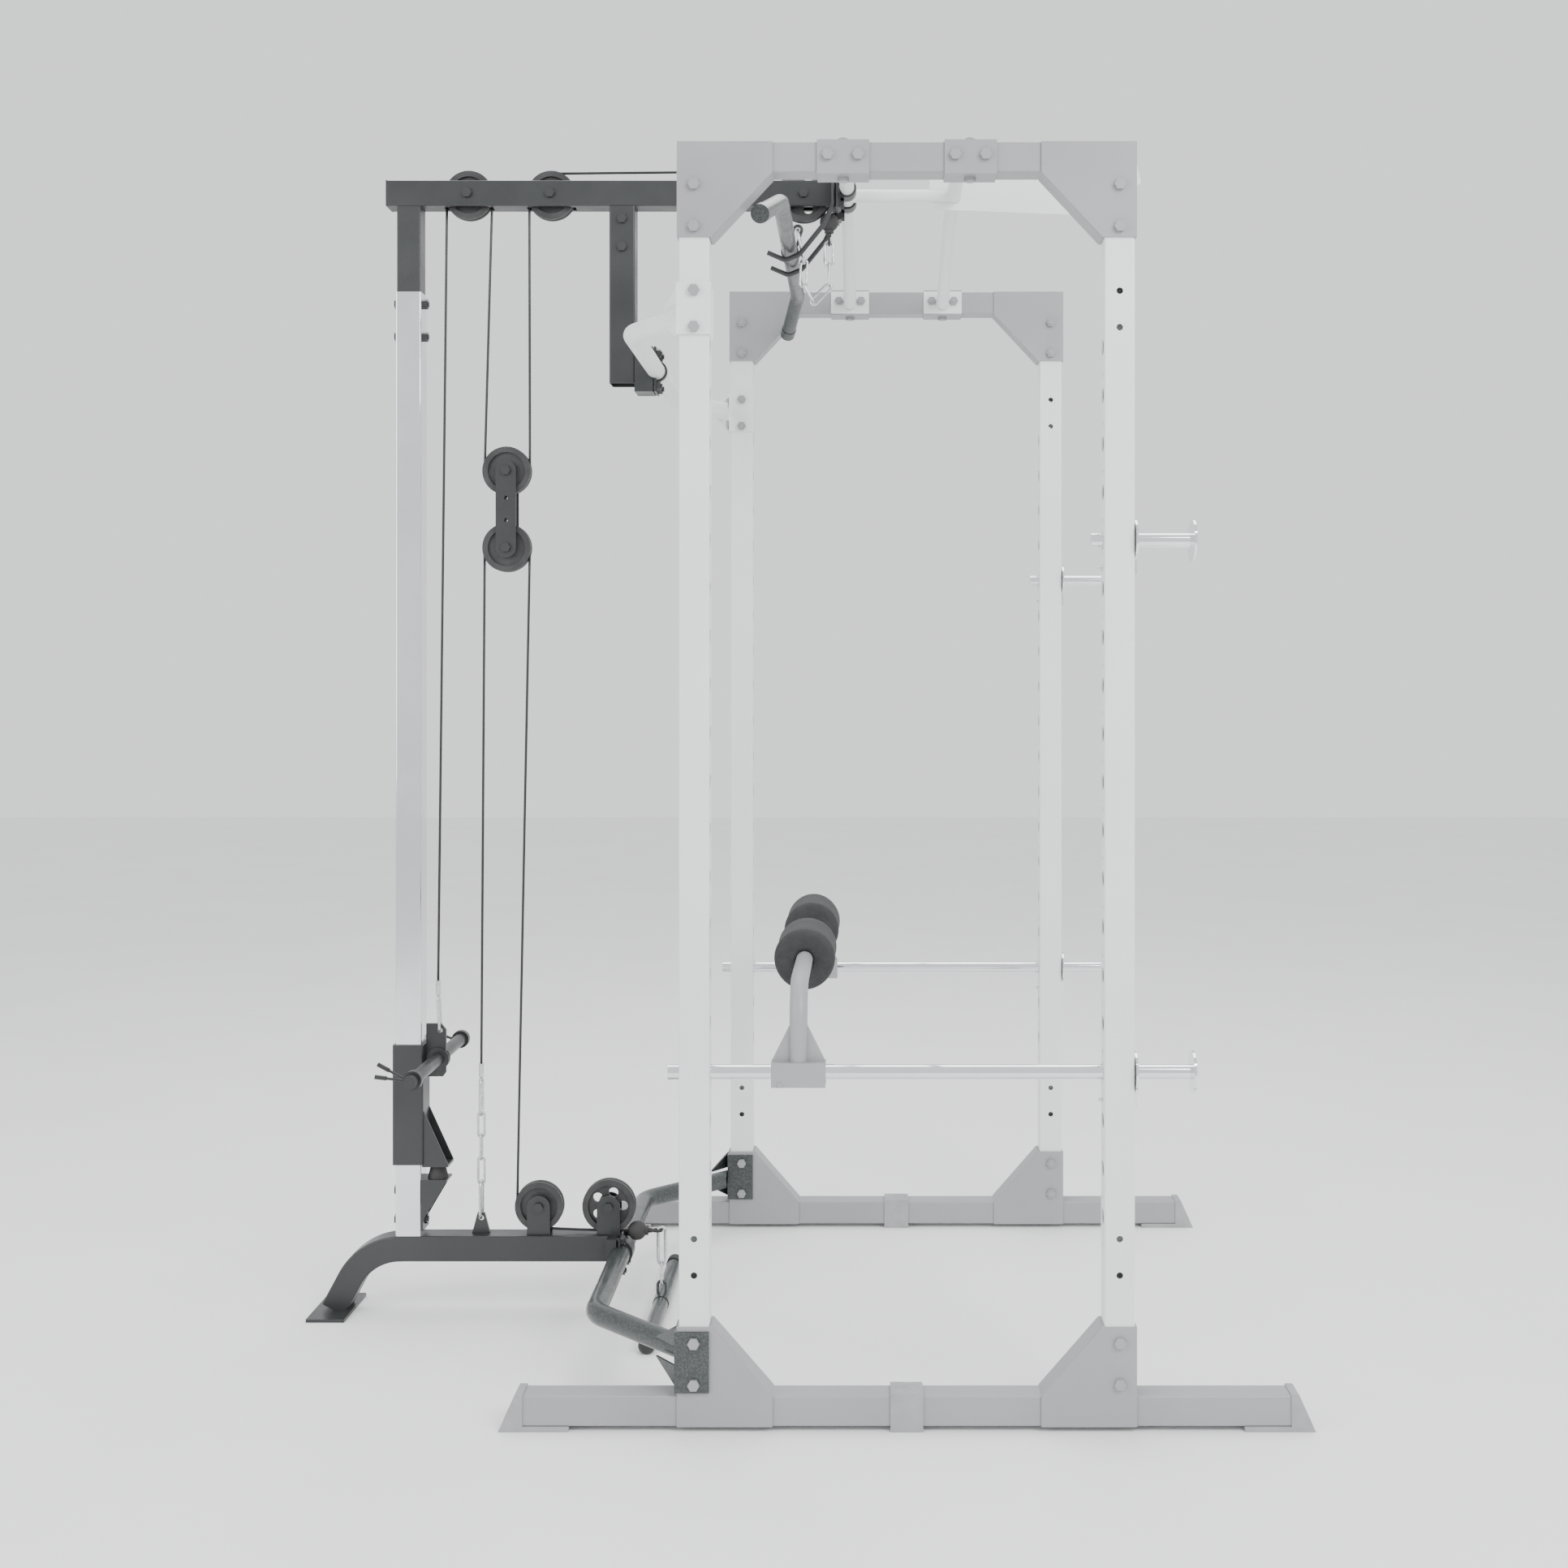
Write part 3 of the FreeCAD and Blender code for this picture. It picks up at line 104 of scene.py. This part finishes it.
class Finish:
    """A material whose nodes are added by type."""

    def __init__(self, name, **sockets):
        self.material = bpy.data.materials.new(name)
        self.material.use_nodes = True
        self.tree = self.material.node_tree
        self.shader = self.tree.nodes["Principled BSDF"]
        for socket, value in sockets.items():
            self.shader.inputs[socket.replace("_", " ")].default_value = value
        coordinates = self.tree.nodes.new("ShaderNodeTexCoord")
        self.place = Value(self.tree, coordinates.outputs["Object"])

    def node(self, kind, settings=None, output=0, **inputs):
        made = self.tree.nodes.new(kind)
        for name, value in (settings or {}).items():
            setattr(made, name, value)
        for name, value in inputs.items():
            socket = made.inputs[name.replace("_", " ")]
            if isinstance(value, Value):
                self.tree.links.new(value.socket, socket)
            else:
                socket.default_value = value
        return Value(self.tree, made.outputs[output])

    def noise(self, scale, detail=3.0, rough=0.5):
        return self.node("ShaderNodeTexNoise", Vector=self.place, Scale=scale, Detail=detail,
                         Roughness=rough)

    def cells(self, scale):
        return self.node("ShaderNodeTexVoronoi", Vector=self.place, Scale=scale)

    def blend(self, mask, first, second):
        mix = self.tree.nodes.new("ShaderNodeMix")
        mix.data_type = "RGBA"
        self.tree.links.new(mask.socket, mix.inputs[0])
        mix.inputs[6].default_value = (*first, 1.0)
        mix.inputs[7].default_value = (*second, 1.0)
        return Value(self.tree, mix.outputs[2])

    def feed(self, socket, value):
        self.tree.links.new(value.socket, self.shader.inputs[socket])

    def bump(self, height, distance, strength=0.5):
        self.feed("Normal", self.node("ShaderNodeBump", Height=height, Distance=distance,
                                      Strength=strength))


# %% [markdown]
# Powder coat is a thick, faintly pebbled skin. Its colour drifts very little, it is a touch rougher where
# hands and dust reach it, and fine orange peel breaks up its highlights. The same recipe serves the pale
# cage, its greyer rails and the black tower.
# %% Powder coat
def powder_coat(name, light, dark, rough):
    paint = Finish(name, IOR=1.5)
    cloud = paint.noise(3.5, 4.0)
    paint.feed("Base Color", paint.blend(cloud.between(0.3, 0.7), dark, light))
    smudge = paint.noise(14.0, 5.0, 0.6)
    paint.feed("Roughness", smudge.between(0.35, 0.75) * 0.16 + rough)
    paint.bump(paint.noise(900.0, 2.0) + paint.noise(260.0, 2.0) * 0.6, 0.00025, 0.45)
    return paint.material


cage_pale = powder_coat("cage_pale_coat", (0.76, 0.80, 0.77), (0.70, 0.745, 0.715), 0.34)
cage_grey = powder_coat("cage_grey_coat", (0.315, 0.315, 0.325), (0.27, 0.27, 0.28), 0.36)
tower_black = powder_coat("tower_black_coat", (0.030, 0.032, 0.033), (0.018, 0.020, 0.021), 0.30)
print("powder coats", 3)


# %% [markdown]
# Hammered paint pulls itself into small shallow cells while it dries. A cell pattern makes both the
# colour, darker in the seams, and the height of the dimples.
# %% Hammered paint
hammer = Finish("hammered_paint", IOR=1.5, Coat_Weight=0.25)
dimple = hammer.cells(260.0)
hammer.feed("Base Color", hammer.blend(dimple.between(0.05, 0.6), (0.062, 0.073, 0.072),
                                       (0.024, 0.029, 0.029)))
hammer.feed("Roughness", hammer.noise(30.0).between(0.3, 0.7) * 0.12 + 0.26)
hammer.bump(1.0 - dimple, 0.0005, 0.55)
hammered = hammer.material


# %% [markdown]
# Chrome and zinc are bare metal. Chrome only needs faint smears in its gloss, because a mirror shows every
# one. Zinc is duller, with a fine mottled grain, and it darkens a little from one patch to another.
# %% Plated metals
mirror = Finish("mirror_chrome", Metallic=1.0)
smear = mirror.noise(9.0, 5.0, 0.65)
mirror.feed("Base Color", mirror.blend(smear.between(0.3, 0.7), (0.80, 0.81, 0.83), (0.72, 0.73, 0.75)))
mirror.feed("Roughness", smear.between(0.45, 0.8) * 0.12 + 0.05)
mirror.bump(mirror.noise(45.0), 0.0001, 0.12)
chrome = mirror.material

plate = Finish("bright_zinc", Metallic=1.0)
mottle = plate.noise(120.0, 4.0)
plate.feed("Base Color", plate.blend(mottle.between(0.3, 0.7), (0.70, 0.71, 0.71), (0.50, 0.51, 0.52)))
plate.feed("Roughness", plate.noise(60.0).between(0.3, 0.7) * 0.18 + 0.22)
plate.bump(plate.noise(800.0, 2.0), 0.0001, 0.3)
zinc = plate.material


# %% [markdown]
# The dark plastics differ in their skin. Moulded nylon has a fine spark-eroded texture, a cable jacket is
# smooth and a little glossy, rubber is dead matt, and closed-cell foam has a coarse wrinkled skin.
# %% Plastics, rubber and foam
def moulded(name, light, dark, rough, grain, depth):
    skin = Finish(name, IOR=1.5)
    skin.feed("Base Color", skin.blend(skin.noise(25.0, 4.0).between(0.35, 0.65), dark, light))
    skin.feed("Roughness", skin.noise(80.0).between(0.3, 0.7) * 0.14 + rough)
    skin.bump(skin.noise(grain, 4.0, 0.65), depth, 0.6)
    return skin.material


nylon = moulded("moulded_nylon", (0.040, 0.040, 0.041), (0.022, 0.022, 0.023), 0.40, 1100.0, 0.0003)
jacket = moulded("cable_jacket", (0.022, 0.022, 0.023), (0.013, 0.013, 0.014), 0.26, 400.0, 0.0001)
rubber = moulded("matt_rubber", (0.034, 0.033, 0.032), (0.020, 0.020, 0.020), 0.62, 500.0, 0.0004)
grip = moulded("grip_rubber", (0.030, 0.030, 0.030), (0.018, 0.018, 0.018), 0.55, 900.0, 0.0004)

sponge = Finish("foam_skin", IOR=1.45)
pores = sponge.cells(420.0)
wrinkle = sponge.noise(55.0, 6.0, 0.7)
sponge.feed("Base Color", sponge.blend(wrinkle.between(0.3, 0.7), (0.018, 0.018, 0.019),
                                       (0.038, 0.038, 0.040)))
sponge.feed("Roughness", wrinkle.between(0.3, 0.7) * 0.15 + 0.66)
sponge.bump(pores * 0.5 + wrinkle, 0.0012, 0.7)
foam = sponge.material
foot_plastic = moulded("grey_foot_plastic", (0.33, 0.33, 0.34), (0.28, 0.28, 0.29), 0.45, 900.0, 0.0003)


# %% [markdown]
# Each steel node takes its finish by the record's own slot, so a list of slots is nearly all that is
# needed. A few nodes are painted or moulded to match what they sit on, and they are named one by one.
# %% Dress the frame
finishes = {
    "cage_pale": cage_pale, "cage_grey": cage_grey, "attachment_black": tower_black,
    "hammertone": hammered, "chrome": chrome, "zinc": zinc, "nylon": nylon, "foam": foam,
    "cable": jacket, "rubber": rubber,
}
own_finish = {
    "rail_feet": foot_plastic, "hold_down_frame": cage_grey, "cage_bolts": cage_grey,
    "tower_bolts": tower_black, "pulley_axles": tower_black, "block_axles": tower_black,
    "weight_horn": tower_black, "collar_left": jacket, "collar_right": jacket,
}
for row in frame["record"]["subparts"]:
    node = nodes[row["node"]]
    node.data.materials.clear()
    node.data.materials.append(own_finish.get(row["node"], finishes[row["material_slot"]]))


# %% [markdown]
# Every new piece is built as a bmesh and then handed over with its faces pointing out, its finish and
# the body that it rides on.
# %% Hand a piece over
def finish_piece(name, mesh, material, body):
    bmesh.ops.remove_doubles(mesh, verts=mesh.verts, dist=1e-6)
    bmesh.ops.recalc_face_normals(mesh, faces=mesh.faces)
    data = bpy.data.meshes.new(name)
    mesh.to_mesh(data)
    mesh.free()
    piece = bpy.data.objects.new(name, data)
    bpy.context.scene.collection.objects.link(piece)
    data.materials.append(material)
    for face in data.polygons:
        face.use_smooth = True
    if body:
        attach(piece, body)
    return piece


def lathe(profile, start, along, steps=64):
    """Spin a closed outline of (distance along, radius) about an axis."""
    mesh = bmesh.new()
    verts = [mesh.verts.new((radius, 0, distance)) for distance, radius in profile]
    for number, vert in enumerate(verts):
        mesh.edges.new((vert, verts[(number + 1) % len(verts)]))
    bmesh.ops.spin(mesh, geom=mesh.verts[:] + mesh.edges[:], cent=(0, 0, 0), axis=(0, 0, 1),
                   angle=2 * math.pi, steps=steps, use_merge=True)
    turn = Vector((0, 0, 1)).rotation_difference(Vector(along)).to_matrix().to_4x4()
    bmesh.ops.transform(mesh, matrix=Matrix.Translation(Vector(start)) @ turn, verts=mesh.verts)
    return mesh


# %% [markdown]
# A foam roller is a soft sleeve slid on a steel bar. Its ends are rounded over, its waist is drawn in a
# little where legs press it, and the skin is slightly uneven, so the outline is a few points and the
# evenness is broken by small moves along the surface.
# %% Foam rollers
for side in ("left", "right"):
    low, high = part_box("foam_roller_" + side)
    centre = (low + high) / 2
    long = high.y - low.y
    outside = (high.z - low.z) / 2
    bore, round_over = 0.0156, 0.012
    waist, unevenness = 0.0016, 0.0006
    outline = [(0.002, bore), (0.0, bore + 0.006), (0.0, outside - round_over)]
    outline += [(round_over * (1 - math.cos(a)), outside - round_over * (1 - math.sin(a)))
                for a in (math.pi / 8, math.pi / 4, 3 * math.pi / 8, math.pi / 2)]
    outline += [(long * t, outside - waist * math.sin(math.pi * t)) for t in (0.25, 0.5, 0.75)]
    outline += [(long - d, r) for d, r in reversed(outline[:7])]
    mesh = lathe(outline, (centre.x, low.y, centre.z), (0, 1, 0), 72)
    for vert in mesh.verts:
        reach = Vector((vert.co.x - centre.x, 0, vert.co.z - centre.z))
        swell = math.sin(vert.co.y * 71.0) * math.sin(math.atan2(reach.z, reach.x) * 3)
        if reach.length > outside * 0.8:
            vert.co -= reach.normalized() * unevenness * (1 + swell)
    piece = finish_piece("foam_sleeve_" + side, mesh, foam, "roller_" + side)
    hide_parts("foam_roller_" + side)
    print(piece.name, len(piece.data.vertices))


# %% [markdown]
# A cable run between two bodies that move apart has to stretch. Each run is a tube with many rings along
# it, but here it is baked in place and tied to neither body.
# %% Cable runs
cable_radius = 0.0025


def cable_run(start, end, rings=24):
    """A round rod cut into rings along its length."""
    a, b = Vector(start), Vector(end)
    long = (b - a).length
    mesh = bmesh.new()
    bmesh.ops.create_cone(mesh, cap_ends=True, segments=16, radius1=cable_radius,
                          radius2=cable_radius, depth=long)
    bmesh.ops.translate(mesh, verts=mesh.verts, vec=(0, 0, long / 2))
    for number in range(1, rings):
        bmesh.ops.bisect_plane(mesh, geom=mesh.verts[:] + mesh.edges[:] + mesh.faces[:],
                               plane_co=(0, 0, long * number / rings), plane_no=(0, 0, 1))
    turn = Vector((0, 0, 1)).rotation_difference((b - a).normalized()).to_matrix().to_4x4()
    bmesh.ops.transform(mesh, matrix=Matrix.Translation(a) @ turn, verts=mesh.verts)
    return mesh


groove = 0.003


def middle_of(node):
    low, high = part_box(node)
    return (low + high) / 2


def rim(node, side):
    """The cable's place at a wheel's side: -1 is the back of the wheel and 1 the front."""
    low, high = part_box(node)
    centre = middle_of(node)
    return (centre.x + side * ((high.z - low.z) / 2 - groove), 0, centre.z)


carriage_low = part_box("lat_cable_carriage_run")[0].z
anchor_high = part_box("anchor_chain")[1].z
lead_low, lead_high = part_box("row_cable_lead")
lead_z = middle_of("row_cable_lead").z
runs = [
    ("lat_run_carriage", "lat_cable_carriage_run", rim("boom_pulley_rear", -1),
     (middle_of("weight_horn").x, 0, carriage_low), "carriage"),
    ("lat_run_block_rear", "lat_cable_block_runs", rim("boom_pulley_rear", 1),
     rim("block_pulley_upper", -1), "block"),
    ("lat_run_block_front", "lat_cable_block_runs", rim("boom_pulley_middle", -1),
     rim("block_pulley_upper", 1), "block"),
    ("row_run_anchor", "row_cable_block_runs", (middle_of("anchor_chain").x, 0, anchor_high),
     rim("block_pulley_lower", -1), "block"),
    ("row_run_base", "row_cable_block_runs", rim("base_pulley_rear", -1),
     rim("block_pulley_lower", 1), "block"),
    ("row_run_lead", "row_cable_lead", (lead_low.x, 0, lead_z), (lead_high.x, 0, lead_z),
     "row_pull_handle"),
]
for name, node, start, end, body in runs:
    piece = finish_piece(name, cable_run(start, end), jacket, None)
    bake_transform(piece)
    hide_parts(node)
print("cable runs", len(runs))


# %% [markdown]
# The row handle ends in rubber caps. A cap is a thin cup, spun from one outline, that stands a hair proud
# of the end it covers. It could be two discs and a tube, but one outline gives the rounded lip as well.
# %% Caps on the row handle
CAP_WALL = 0.00025
CAP_LENGTH = 0.030
CAP_RADIUS = 0.0157
LIP = 0.003
CAP_FLOOR = 0.0025                    # the thickness of the cap's closed end


def cap(name, tip, inward, body):
    """A cup over a round end, from its tip inwards."""
    outside = CAP_RADIUS + CAP_WALL
    bore = CAP_RADIUS + 0.0002
    outline = [(0.0, 0.0), (0.0, CAP_RADIUS - LIP), (LIP / 3, CAP_RADIUS - LIP / 3), (LIP, outside),
               (CAP_LENGTH, outside), (CAP_LENGTH, bore), (CAP_FLOOR, bore), (CAP_FLOOR, 0.0)]
    return finish_piece(name, lathe(outline, tip, inward, 40), grip, body)


row_low, row_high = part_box("row_handle")
row_x = (row_low.x + row_high.x) / 2
row_z = row_low.z + CAP_RADIUS
for side, name, tip_y in ((-1, "right", row_low.y), (1, "left", row_high.y)):
    cap("row_cap_" + name, (row_x, tip_y + side * 0.0004, row_z), (0, -side, 0), "row_pull_handle")


# %% [markdown]
# Welds show where a tube meets a plate. Here they are rings of weld bead round the ends of the pull-up
# bars, spun from a small circle whose size rises and falls round the ring like laid beads.
# %% Weld beads
def weld(name, centre, along, radius, material, bead=0.0028):
    mesh = bmesh.new()
    steps = 60
    bmesh.ops.create_circle(mesh, segments=8, radius=bead)
    bmesh.ops.rotate(mesh, verts=mesh.verts, matrix=Matrix.Rotation(math.pi / 2, 3, "X"))
    bmesh.ops.translate(mesh, verts=mesh.verts, vec=(radius, 0, 0))
    bmesh.ops.spin(mesh, geom=mesh.verts[:] + mesh.edges[:], cent=(0, 0, 0), axis=(0, 0, 1),
                   angle=2 * math.pi, steps=steps, use_merge=True)
    for vert in mesh.verts:
        turn = math.atan2(vert.co.y, vert.co.x)
        out = Vector((math.cos(turn), math.sin(turn), 0)) * radius
        vert.co = out + (vert.co - out) * (0.85 + 0.22 * math.sin(turn * 20))
    turn = Vector((0, 0, 1)).rotation_difference(Vector(along)).to_matrix().to_4x4()
    bmesh.ops.transform(mesh, matrix=Matrix.Translation(Vector(centre)) @ turn, verts=mesh.verts)
    return finish_piece(name, mesh, material, "root")


bars_low, bars_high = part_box("pull_up_bars")
half_clamp = 0.043
bar_radius = 0.014
bar_end_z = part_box("top_rail_left")[1].z - 2 * bar_radius
for number, x in enumerate((bars_low.x + half_clamp, bars_high.x - half_clamp)):
    for side in (-1, 1):
        y = side * (bars_high.y - 0.003)
        weld("bar_weld_%d_%s" % (number, "left" if side > 0 else "right"), (x, y, bar_end_z),
             (0, 1, 0.12), bar_radius + 0.0005, cage_pale)


# %% [markdown]
# The studio is a wide pale floor under a bright sky, with a large soft key light, a fill from the other
# side and a broad light above. The camera stands level at chest height, square to the cage's side.
# %% Studio
floor_finish = Finish("pale_floor", Roughness=0.6)
floor_finish.feed("Base Color", floor_finish.blend(floor_finish.noise(2.0).between(0.3, 0.7),
                                                   (0.90, 0.90, 0.895), (0.87, 0.87, 0.865)))
floor_mesh = bmesh.new()
bmesh.ops.create_grid(floor_mesh, x_segments=1, y_segments=1, size=14.0)
floor_data = bpy.data.meshes.new("floor")
floor_mesh.to_mesh(floor_data)
floor_mesh.free()
floor = bpy.data.objects.new("floor", floor_data)
bpy.context.scene.collection.objects.link(floor)
floor_data.transform(Matrix.Translation((0, 0, -0.0005)))
floor_data.materials.append(floor_finish.material)

world = bpy.data.worlds.new("studio")
world.use_nodes = True
world.node_tree.nodes["Background"].inputs["Color"].default_value = (0.97, 0.98, 1.0, 1.0)
world.node_tree.nodes["Background"].inputs["Strength"].default_value = 1.25
bpy.context.scene.world = world


def soft_light(name, place, aim, size, power):
    light = bpy.data.lights.new(name, "AREA")
    light.size = size
    light.energy = power
    lamp = bpy.data.objects.new(name, light)
    lamp.location = place
    lamp.rotation_euler = (Vector(aim) - Vector(place)).to_track_quat("-Z", "Y").to_euler()
    bpy.context.scene.collection.objects.link(lamp)


middle = (0.0, 0.0, 1.1)
soft_light("key", (2.6, -3.4, 3.6), middle, 2.4, 190.0)
soft_light("fill", (-3.4, -2.6, 2.2), middle, 2.8, 80.0)
soft_light("top", (0.0, 1.2, 4.6), middle, 3.2, 120.0)

# %% Camera
lens = bpy.data.cameras.new("camera")
lens.lens = 42.9
lens.sensor_width = 36.0
lens.shift_x = -0.0538
lens.shift_y = -0.061
camera = bpy.data.objects.new("camera", lens)
camera.location = (0.1742, -3.678, 1.2213)
camera.rotation_euler = (math.pi / 2, 0.0, 0.0)
bpy.context.scene.collection.objects.link(camera)
bpy.context.scene.camera = camera
